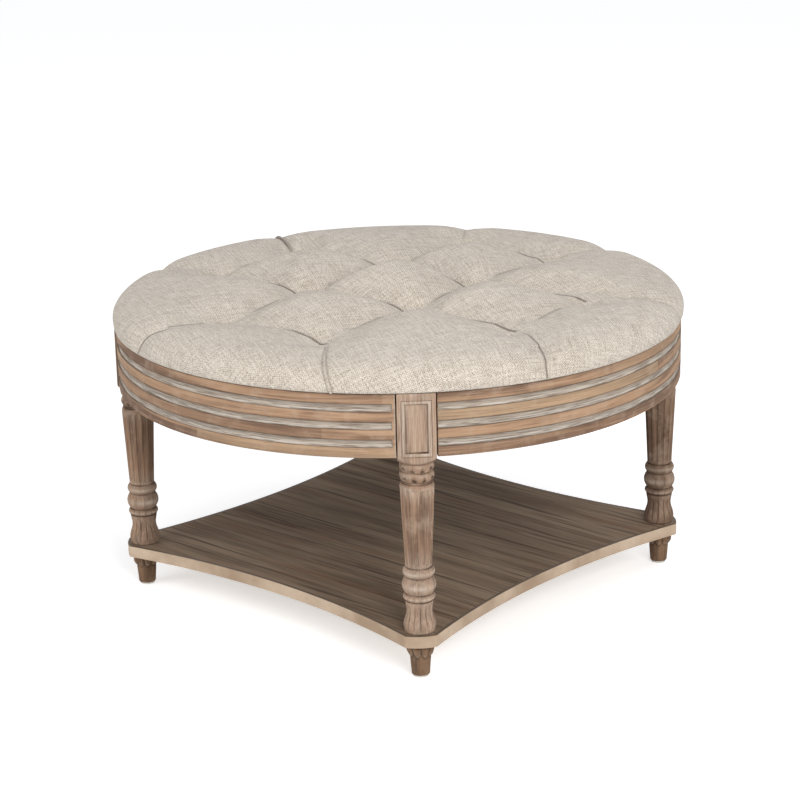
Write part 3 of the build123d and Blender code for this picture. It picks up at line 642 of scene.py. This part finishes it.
def blockPoints():
    # the block's square section carried up its height: held inside a circle of roundedRadius + roundedRise *
    # sin(t) below, t from 0 to pi / 2, and sunk in its outer face by the moulding, read off by the distance
    # in from the panel's edge
    half, arris, bottom, top = leg["half"], leg["arris"], leg["blockBottom"], leg["top"]
    step, depth = np.array(leg["mouldingStep"]), np.array(leg["mouldingDepth"])
    mouth = leg["mouthHalf"] - step
    edges = np.array([22.5, half - arris])
    side = np.concatenate([-edges[::-1], -mouth, [-8, -4, 0, 4, 8], mouth[::-1], edges])
    turn = np.linspace(-pi / 4, pi / 4, 5) + pi / 4
    face = pairs(half, side)
    rounded = pairs(half - arris + arris * np.cos(turn), half - arris + arris * np.sin(turn))[1:-1]
    section = np.concatenate([face, rounded])
    loop = np.concatenate([quarterTurn(section, quarter) for quarter in range(4)])
    heights = np.unique(np.concatenate([np.linspace(bottom, 312, 22), leg["mouthBottom"] + step,
                                        leg["mouthTop"] - step, np.linspace(316, 377, 9),
                                        [389, 392.4, 393.2, top]]))[:, None]
    x, y = loop[None, :, 0] + 0 * heights, loop[None, :, 1] + 0 * heights
    front = (np.arange(len(loop)) < len(side))[None, :]
    fromEnds = np.minimum(heights - leg["mouthBottom"], leg["mouthTop"] - heights)
    inside = np.minimum(leg["mouthHalf"] - np.abs(y), fromEnds)
    sunk = np.where(front & (inside >= 0), np.interp(inside, step, depth), 0)
    x = x - sunk
    rise = held((heights - bottom) / leg["roundedHeight"])
    envelope = leg["roundedRadius"] + leg["roundedRise"] * np.sin(pi / 2 * rise)
    envelope = np.where(heights > bottom + leg["roundedHeight"], 60, envelope)  # 60 lies beyond the corners
    shrink = np.minimum(1, envelope / np.hypot(x, y)) * np.where(heights > 393, 0.985, 1)
    points = np.stack(np.broadcast_arrays(x * shrink, y * shrink, heights), -1)
    low, high = (np.tile([0, 0, end], (1, len(loop), 1)) for end in (bottom, top))
    points = np.concatenate([low, points, high])
    # painted shade: thin dark lines round the panel's moulding, deepest at its foot and on its +Y side, and
    # full dark on the block's sides in the gaps at the rails
    outerLine = front & (inside >= 0.3) & (inside < 1.0)
    innerLine = front & amid(inside, 5.5, 6.5)
    shadow = 0.3 + 0.5 * (heights < leg["mouthBottom"] + 7) + 0.25 * (y > 0)  # deepest at the panel's foot
    inGap = ~front & (np.abs(y) > half - 0.1) & (x < half - 3) & (heights > apron["bottom"] + 0.5)
    dark = 0.3 * outerLine + shadow * innerLine + 1.0 * inGap
    wash = np.where(front & (inside >= 1.1) & (inside <= 5.4), 1.0, 0.5) + 0 * heights
    capped = ((1, 1), (0, 0))  # nothing on the two end caps
    return points, points[..., 1:], {"wash": np.pad(wash, capped), "dark": np.pad(held(dark), capped)}


def makeLegs(material):
    # the turned part and the block are drawn on the leg's own axis and stood up at each corner
    parts = (legPoints(), blockPoints())
    for name, angle in legAngles.items():
        share, stain = leg["worn"][name]
        sheets = []
        for points, flat, values in parts:
            # wash and stain by leg, partly painted shade on the front left and back right legs
            own = {**values, "wash": values["wash"] * share, "dark": held(values["dark"] + stain)}
            stood = standUp(points, angle, leg["axis"])
            sheets.append({"points": stood, "around": True, "flat": flat, "values": own})
        makePiece("carved_leg_" + name, sheets, material, 50, "leg_" + name)


# feet

foot = {"lobes": 9, "lobeDepth": 1.3, "lobeBottom": 29, "lobeDrop": 6.5, "lobeRise": 8, "lobeTop": 43,
        "flange": 19.0, "flangeBottom": 43.3, "neck": 13.75, "end": 12.0, "bottom": 3, "top": 47.7,
        "shadow": 27.5}


def makeFeet(material):
    # radius from the shank to the flange along sin(t)^0.8, t from 0 to pi / 2 over lobeRise; each lobe |sin|
    # lets that start up to lobeDrop lower, so that the flare hangs down in lobes with creases between them
    low, high = foot["bottom"], foot["top"]
    height = np.concatenate([[low, low, 3.6], np.linspace(5, 24, 10), np.linspace(25, foot["lobeTop"], 37),
                             [43.6, 44.2, 46.6, 47.4, high, high]])[:, None]
    turn = np.linspace(0, 2 * pi, foot["lobes"] * 16, endpoint=False)[None, :]
    lobe = np.abs(np.sin(turn * foot["lobes"] / 2))
    start = foot["lobeDrop"] * (1 - lobe ** 0.8)
    shank = foot["end"] + (foot["neck"] - foot["end"]) * held((height - low) / 22)
    rise = held((height - foot["lobeBottom"] - start) / foot["lobeRise"])
    onLobes = (rise > 0) * (height < foot["lobeTop"])
    reach = shank + (foot["flange"] - 0.6 - shank) * np.sin(rise * pi / 2) ** 0.8
    reach = reach - foot["lobeDepth"] * (1 - lobe) ** 2 * onLobes
    reach = np.where(height > foot["flangeBottom"], foot["flange"], reach)
    reach[0], reach[-1] = 0, 0
    reach[1], reach[-2] = foot["end"] - 0.6, foot["flange"] - 0.5
    points = ringPoints(reach, turn, height)
    # painted shade in the creases between the lobes and in a line under the flange
    dark = held((1 - lobe) * 1.4 - 0.6) * onLobes + np.exp(-((height - foot["flangeBottom"]) / 0.7) ** 2)
    below = height - foot["shadow"] - start  # the shadow line under the lobes
    dark = np.maximum(dark, 0.8 * np.exp(-(below / 1.1) ** 2))
    values = {"dark": held(dark), "wash": 0.0, "edge": amid(rise, 0.15, 0.6) * 0.2}
    flat = pairs(turn * 15, height)
    for name, angle in legAngles.items():
        sheet = {"points": standUp(points, angle, leg["axis"]), "around": True, "flat": flat, "values": values}
        makePiece("turned_foot_" + name, [sheet], material, 50, "foot_" + name)


# apron

apron = {"inner": 376.0, "outer": 398.0, "bottom": 308.6, "top": 393.6, "gap": 1.5, "chamfer": 0.8,
         "flute": 10.0, "land": 13.75, "flutes": 3, "fluteDepth": 3.4, "quirk": 0.9,
         "startMargin": 0.9, "endMargin": 4.4}


def railSection():
    # the rail's outline as rows of (radius, height), finer about each flute's edges; the face rows come first
    low, high, outer, inner = apron["bottom"], apron["top"], apron["outer"], apron["inner"]
    step = apron["land"] + apron["flute"]
    marks = low + apron["land"] + step * np.arange(apron["flutes"])  # each flute's lower edge
    across = np.array([-2, -0.7, -0.15, 0, 0.15, 0.3, 0.6, 1.2, 2.1, 3.2, 4.4, 5.6, 6.8, 7.9, 8.8, 9.4, 9.7,
                       9.85, 10, 10.15, 10.7, 12])
    rows = np.unique(np.concatenate([[low + 0.35, low + 0.8, low + 6], (marks[:, None] + across).ravel(),
                                     [high - 6, high - 1.6, high - 0.8, high - 0.35]]))
    middle = (outer + inner) / 2
    radius = np.concatenate([[outer - 0.5], np.full(len(rows), outer),
                             [outer - 0.5, middle, inner + 0.5, inner, inner, inner + 0.5, middle]])
    height = np.concatenate([[low], rows, [high, high, high, high - 0.5, low + 0.5, low, low]])
    onFace = (np.arange(len(radius)) > 0) & (np.arange(len(radius)) <= len(rows))
    return radius, height, onFace, marks


def makeAprons(material):
    # the section is carried along the rail's arc; each flute is a cove quirk + (fluteDepth - quirk) *
    # sqrt(1 - q^2) deep, q from its middle in half-widths, and stops square just short of the rail's ends
    radius, height, onFace, marks = railSection()
    height, onFace = height[:, None], onFace[:, None]
    half = apron["flute"] / 2
    halfRun = apron["outer"] * (pi / 4 - (leg["half"] + apron["gap"]) / apron["outer"])
    end = np.concatenate([[0, 0.4, 0.8, 1.1, 1.6, 2.4, 3.6, 4.2, 4.6, 5.2, 6.5, 9], np.linspace(13, 40, 8)])
    along = np.concatenate([end, np.linspace(46, 2 * halfRun - 46, 110), 2 * halfRun - end[::-1]])
    fromStart, fromEnd = along[None, :], 2 * halfRun - along[None, :]
    arc = fromStart - halfRun
    within = held((fromStart - apron["startMargin"]) / 0.6) * held((fromEnd - apron["endMargin"]) / 0.8)
    q = np.abs(height - marks - half).min(1)[:, None] / half
    bowl = np.sqrt(held(1 - q ** 2)) * (apron["fluteDepth"] - apron["quirk"])
    cove = np.where(q < 0.999, bowl + apron["quirk"], 0) * onFace * within
    cut = apron["chamfer"]
    chamfer = cut * held(1 - fromStart / cut) + cut * held(1 - fromEnd / cut)
    reach = radius[:, None] - cove - chamfer * onFace
    points = ringPoints(reach, arc / apron["outer"], height)
    above = np.abs(height - marks - apron["flute"]).min(1)[:, None]  # from a flute's upper and lower edge
    below = np.abs(height - marks).min(1)[:, None]
    # painted shade: a dark line along each flute's upper edge, under the land above it, and a fainter one along
    # its lower edge
    line = held(1 - above / 1.1) ** 0.5 * 0.95 + held(1 - below / 0.6) * 0.55
    line = line + held(1 - (apron["top"] - height) / 1.5)  # the shadow under the cushion
    dark = held(line) * np.maximum(within, height > apron["top"] - 2) * onFace
    edge = held(1 - np.abs(fromEnd - 0.9) / 1.3) * onFace
    # painted highlight on the lower part of each flute
    lit = held(1 - np.abs(height - marks - 2.2).min(1)[:, None] / 2.2) * (cove > 0)
    values = {"wash": closed((cove > 0) * 1.0), "dark": closed(dark), "edge": closed(edge), "lit": closed(lit)}
    for number, (name, angle) in enumerate(sideAngles.items()):
        flat = pairs(arc + 900 * number, height)  # each rail has its own stretch of the grain
        grid = standUp(points, angle)
        ends = []
        for index, turned in ((0, False), (-1, True)):
            rim = closed(grid[:, index])
            middle = np.broadcast_to(grid[:, index].mean(0), rim.shape)
            # each rail's end faces are painted full dark, as shade in the gap at the block
            ends.append({"points": np.stack([rim, middle]), "turned": turned, "values": {"dark": 1.0}})
        body = {"points": closed(grid), "flat": closed(flat), "values": values}
        makePiece("fluted_rail_" + name, [body] + ends, material, 50, "apron_" + name)


# finishes

linen = {"light": shade(0.76, 0.69, 0.60), "middle": shade(0.575, 0.505, 0.425),
         "deep": shade(0.33, 0.27, 0.21), "fold": shade(0.10, 0.07, 0.05), "pitch": 0.0036, "relief": 0.0009}


def linenFinish():
    # a basket of warp and weft threads, sin(x) * sin(y), each thread with its own thick and thin places,
    # under a fine speckle of dark yarn; tone is the sum of these and picks the colour
    finish = Finish("beige_linen", **{"Roughness": 0.95, "Sheen Weight": 0.2, "Sheen Roughness": 0.6,
                                      "Specular IOR Level": 0.12})
    place = finish.surfacePlace()
    turned = finish.stretched(place, (1, 1, 1), radians(24))
    parts = finish.node("SeparateXYZ", {}, {0: turned}, out=None)
    across, along = Wire(finish, parts.outputs[0]), Wire(finish, parts.outputs[1])
    stride = 2 * pi / linen["pitch"]
    warp, weft = across.maths("SINE", across * stride), along.maths("SINE", along * stride)
    basket = warp * weft
    twill = across.maths("SINE", (across * 1.5 + along) * stride)
    fine, broad = 1.2 / linen["pitch"], 0.12 / linen["pitch"]
    slub = finish.noise(finish.stretched(turned, (fine, broad, 1)), 1.0, 2) - 0.5
    slubWeft = finish.noise(finish.stretched(turned, (broad, fine, 1)), 1.0, 2) - 0.5
    speckle = finish.noise(place, 1.9 / linen["pitch"], 2, 0.6) - 0.5
    cloud = finish.noise(place, 9, 3) - 0.5
    tone = 0.5 + basket * 0.34 + twill * 0.2 + slub * 1.1 + slubWeft * 1.1 + speckle * 2.6 + cloud * 0.3
    colour = finish.blend(finish.between(tone, 0.45, 1.05), linen["middle"], linen["light"])
    colour = finish.blend(finish.between(tone, 0.5, -0.1), colour, linen["deep"])
    # painted shade along the creases and pleats
    colour = finish.blend(finish.value("fold") * 0.9, colour, linen["fold"])
    finish.feed(Base_Color=colour, Normal=finish.bump(tone, linen["relief"], 0.6))
    return finish.material


legLook = {"rail": False, "long": (420, 420, 16), "broad": (48, 48, 4), "haze": 0.38, "cover": 0.75,
           "dark": shade(0.15, 0.085, 0.052), "warm": shade(0.335, 0.203, 0.128),
           "deep": shade(0.09, 0.047, 0.027), "pale": shade(0.505, 0.387, 0.287),
           "lime": shade(0.60, 0.50, 0.405), "ash": shade(0.29, 0.207, 0.15),
           "lit": shade(0.68, 0.62, 0.55), "nick": shade(0.04, 0.022, 0.014)}
footLook = {"dark": shade(0.11, 0.064, 0.038), "warm": shade(0.22, 0.132, 0.077),
            "pale": shade(0.32, 0.23, 0.153), "haze": 0.28}
railLook = {"rail": True, "long": (14, 420, 1), "broad": (3.5, 62, 1), "haze": 0.3, "cover": 0.85,
            "dark": shade(0.17, 0.103, 0.068), "warm": shade(0.41, 0.255, 0.155),
            "deep": shade(0.115, 0.062, 0.042), "pale": shade(0.50, 0.37, 0.27),
            "lime": shade(0.45, 0.40, 0.34), "ash": shade(0.17, 0.14, 0.11),
            "lit": shade(0.68, 0.62, 0.55), "nick": shade(0.035, 0.022, 0.016),
            "walnut": shade(0.17, 0.10, 0.065), "maple": shade(0.50, 0.355, 0.22),
            "first": 0.30347, "step": 0.02375, "joints": 3.3}  # the strips: where, how high, how many a metre


def weatheredFinish(name, look):
    # wood whose grain runs along one axis, darkened by dirt and painted shade where its dark value is set and
    # limewashed in its flutes, where the wash lies in long streaks from ash to white, with a painted highlight
    # where its lit value is set; each tone is blended over the last by a noise or by a value
    finish = Finish(name, **{"Specular IOR Level": 0.2})
    place = finish.surfacePlace() if look["rail"] else finish.objectPlace()
    long, broad = look["long"], look["broad"]
    grain = finish.noise(finish.stretched(place, long), 1.0, 4, 0.65, 0.3)
    band = finish.noise(finish.stretched(place, broad), 1.0, 3, 0.6, 0.8)
    blotch = finish.noise(place, 34, 4, 0.65)
    closer = tuple(1.7 * size for size in long)
    streak = finish.noise(finish.stretched(place, closer, shift=(3, 5, 7)), 1.0, 3, 0.7, 0.2)
    colour = finish.blend(finish.between(band, 0.36, 0.62), look["dark"], look["warm"])
    if look["rail"]:  # each land is pieced from strips of other tones
        parts = finish.node("SeparateXYZ", {}, {0: place}, out=None)
        land = ((Wire(finish, parts.outputs[1]) - look["first"]) / look["step"]).floor()
        strip = (Wire(finish, parts.outputs[0]) * look["joints"] + land * 0.37).floor()
        cell = finish.node("CombineXYZ", {}, {0: strip, 1: land})
        chance = finish.node("TexWhiteNoise", {"noise_dimensions": "2D"}, {"Vector": cell}, out="Value")
        colour = finish.blend(finish.between(chance, 0.55, 0.0, 0, 0.6), colour, look["walnut"])
        colour = finish.blend(finish.between(chance, 0.65, 1.0, 0, 0.5), colour, look["maple"])
    colour = finish.blend(finish.between(grain, 0.48, 0.72) * 0.55, colour, look["deep"])
    colour = finish.blend(finish.between(grain, 0.45, 0.28) * 0.45, colour, look["pale"])
    colour = finish.blend(finish.between(blotch, 0.48, 0.7) * look["haze"], colour, look["pale"])
    lime = finish.blend(finish.between(streak, 0.34, 0.6), look["ash"], look["lime"])
    worn = finish.between(finish.noise(finish.stretched(place, broad), 1.9, 4, 0.65), 0.22, 0.5, 0.35, 1)
    colour = finish.blend(finish.value("wash") * worn * look["cover"], colour, lime)
    # painted highlight where the lit value is set, on the lower part of the rails' flutes
    lit = finish.value("lit") * finish.between(streak, 0.4, 0.62, 0.05, 0.75)
    colour = finish.blend(lit, colour, look["lit"])
    # pale edges: wear, with a painted highlight high on each bead
    colour = finish.blend(finish.value("edge") * 0.6, colour, look["lime"])
    # dirt and painted shade, in the nick colour
    dirtAndShade = finish.value("dark") * finish.between(blotch, 0.3, 0.6, 0.98, 0.72)
    colour = finish.blend(dirtAndShade, colour, look["nick"])
    height = grain * 0.6 + streak * 0.4
    finish.feed(Base_Color=colour, Roughness=finish.between(grain, 0.2, 0.8, 0.66, 0.84),
                Normal=finish.bump(height, 0.0005, 0.7))
    return finish.material


veneer = {"dark": shade(0.155, 0.105, 0.07), "light": shade(0.30, 0.222, 0.155),
          "red": shade(0.21, 0.115, 0.07), "streak": shade(0.06, 0.037, 0.025),
          "pore": shade(0.40, 0.32, 0.24), "deep": shade(0.08, 0.052, 0.037)}


def veneerFinish():
    # dark grey-brown veneer, its grain along X, with fine pale pores and long dark and reddish streaks
    finish = Finish("shelf_veneer", **{"Specular IOR Level": 0.1})
    place = finish.objectPlace()
    grain = finish.noise(finish.stretched(place, (9, 420, 1)), 1.0, 4, 0.7, 0.2)
    figure = finish.noise(finish.stretched(place, (1.6, 26, 1)), 1.0, 4, 0.6, 1.0)
    streak = finish.noise(finish.stretched(place, (3, 130, 1)), 1.0, 3, 0.55, 0.3)
    tone = finish.noise(finish.stretched(place, (2.2, 60, 1), shift=(4, 2, 0)), 1.0, 3, 0.5, 0.5)
    colour = finish.blend(finish.between(figure, 0.34, 0.66), veneer["dark"], veneer["light"])
    colour = finish.blend(finish.between(tone, 0.52, 0.66) * 0.5, colour, veneer["red"])
    colour = finish.blend(finish.between(streak, 0.54, 0.66) * 0.75, colour, veneer["streak"])
    colour = finish.blend(finish.between(grain, 0.5, 0.72) * 0.6, colour, veneer["pore"])
    colour = finish.blend(finish.between(grain, 0.46, 0.3) * 0.4, colour, veneer["deep"])
    finish.feed(Base_Color=colour, Roughness=finish.between(grain, 0.2, 0.8, 0.62, 0.82),
                Normal=finish.bump(grain, 0.0003, 0.6))
    return finish.material


edgeLook = {"light": shade(0.58, 0.45, 0.33), "dark": shade(0.36, 0.25, 0.165),
            "stain": shade(0.14, 0.10, 0.07)}
innerLook = {"light": shade(0.62, 0.47, 0.31), "dark": shade(0.42, 0.29, 0.17)}


def paleWoodFinish(name, look):
    # pale wood with its grain upright; a stain, where there is one, covers what faces up
    finish = Finish(name, **{"Specular IOR Level": 0.3})
    place = finish.objectPlace()
    grain = finish.noise(finish.stretched(place, (60, 60, 400)), 1.0, 4, 0.6, 0.4)
    tone = finish.noise(place, 14, 3)
    speck = finish.noise(place, 160, 3, 0.7)
    colour = finish.blend(finish.between(tone, 0.3, 0.7), look["dark"], look["light"])
    colour = finish.blend(finish.between(grain, 0.5, 0.8) * 0.35, colour, look["dark"])
    colour = finish.blend(finish.between(speck, 0.52, 0.75) * 0.3, colour, look["dark"])
    if "stain" in look:
        facing = finish.node("SeparateXYZ", {}, {0: finish.node("NewGeometry", out="Normal")}, out="Z")
        colour = finish.blend(finish.between(facing, 0.6, 0.9), colour, look["stain"])
    finish.feed(Base_Color=colour, Roughness=finish.between(tone, 0.2, 0.8, 0.5, 0.65),
                Normal=finish.bump(grain, 0.0002, 0.4))
    return finish.material


# the speckled finishes: tones, roughness, specks a metre, and the nodes that wear them, later ones over
# earlier
plainLooks = {
    "foam": {"light": shade(0.78, 0.70, 0.42), "dark": shade(0.66, 0.57, 0.32), "rough": 0.9, "scale": 500,
             "nodes": "seat_foam"},
    "black_lining": {"light": shade(0.03, 0.03, 0.032), "dark": shade(0.012, 0.012, 0.013), "rough": 0.92,
                     "scale": 700, "nodes": "dust_cover"},
    "twine": {"light": shade(0.62, 0.55, 0.42), "dark": shade(0.42, 0.35, 0.25), "rough": 0.85, "scale": 900,
              "nodes": "tufting_twine"},
    "steel": {"light": shade(0.62, 0.61, 0.60), "dark": shade(0.42, 0.41, 0.40), "rough": 0.34, "scale": 300,
              "metallic": 1.0, "relief": 0.00005,
              "nodes": ("cover_staples", "dust_cover_staples", "foot_studs", "threaded_inserts",
                        "hanger_bolts", "bolt_", "seat_screws")},
    "glide": {"light": shade(0.72, 0.69, 0.63), "dark": shade(0.58, 0.55, 0.50), "rough": 0.45, "scale": 300,
              "nodes": "foot_glides"},
}


def plainFinish(name, look):
    finish = Finish(name, **{"Metallic": look.get("metallic", 0.0)})
    tone = finish.noise(finish.objectPlace(), look["scale"], 3, 0.6)
    colour = finish.blend(finish.between(tone, 0.3, 0.7), look["dark"], look["light"])
    rough = finish.between(tone, 0.2, 0.8, look["rough"] - 0.08, look["rough"] + 0.08)
    finish.feed(Base_Color=colour, Roughness=rough, Normal=finish.bump(tone, look.get("relief", 0.0002), 0.5))
    return finish.material


def dressNode(names, material):
    # every node whose name starts with one of these wears this material
    for name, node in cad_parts.items():
        if name.startswith(names):
            node.data.materials.clear()
            node.data.materials.append(material)


# floor

room = {"floor": shade(0.86, 0.86, 0.86), "half": 40, "glow": 0.5,
        "light": shade(0.97, 0.98, 1.0), "lightStrength": 0.55, "white": shade(1, 1, 1), "whiteStrength": 1.0}


def makeFloor():
    # a pale floor and world that light the table evenly, and turn white where a ray shows them as a backdrop
    half = room["half"]
    form = bpy.data.meshes.new("floor")
    corners = [(-half, -half, 0), (half, -half, 0), (half, half, 0), (-half, half, 0)]
    form.from_pydata(corners, [], [(0, 1, 2, 3)])
    floor = bpy.data.objects.new("floor", form)
    scene.collection.objects.link(floor)
    finish = Finish("floor", **{"Base Color": room["floor"], "Roughness": 1.0, "Specular IOR Level": 0.0})
    finish.feed(Emission_Strength=finish.backdropRays() * room["glow"], Emission_Color=room["white"])
    form.materials.append(finish.material)
    world = bpy.data.worlds.new("world")
    scene.world = world
    sky = Nodes(world)
    lit = sky.node("Background", {}, {"Color": room["light"], "Strength": room["lightStrength"]})
    shown = sky.node("Background", {}, {"Color": room["white"], "Strength": room["whiteStrength"]})
    mixed = sky.node("MixShader", {}, {0: sky.backdropRays(), 1: lit, 2: shown})
    sky.node("OutputWorld", {}, {"Surface": mixed}, out=None)


placeCamera()
hangLamps()
makeFloor()
print("camera, lamps and floor placed")
makeSeat(linenFinish())
print("seat cover made")
makeLegs(weatheredFinish("leg_wood", legLook))
makeFeet(weatheredFinish("foot_wood", {**legLook, **footLook}))
print("legs and feet made")
makeAprons(weatheredFinish("apron_wood", railLook))
print("aprons made")
dressNode("shelf_veneer", veneerFinish())
dressNode(("shelf_nose", "shelf_edge"), paleWoodFinish("shelf_edge", edgeLook))
dressNode(("shelf_panel", "corner_block", "rail_tenons", "seat_board"), paleWoodFinish("inner_wood", innerLook))
for name, look in plainLooks.items():
    dressNode(look["nodes"], plainFinish(name, look))
print("frame pieces finished")

scene.view_settings.view_transform = "Standard"
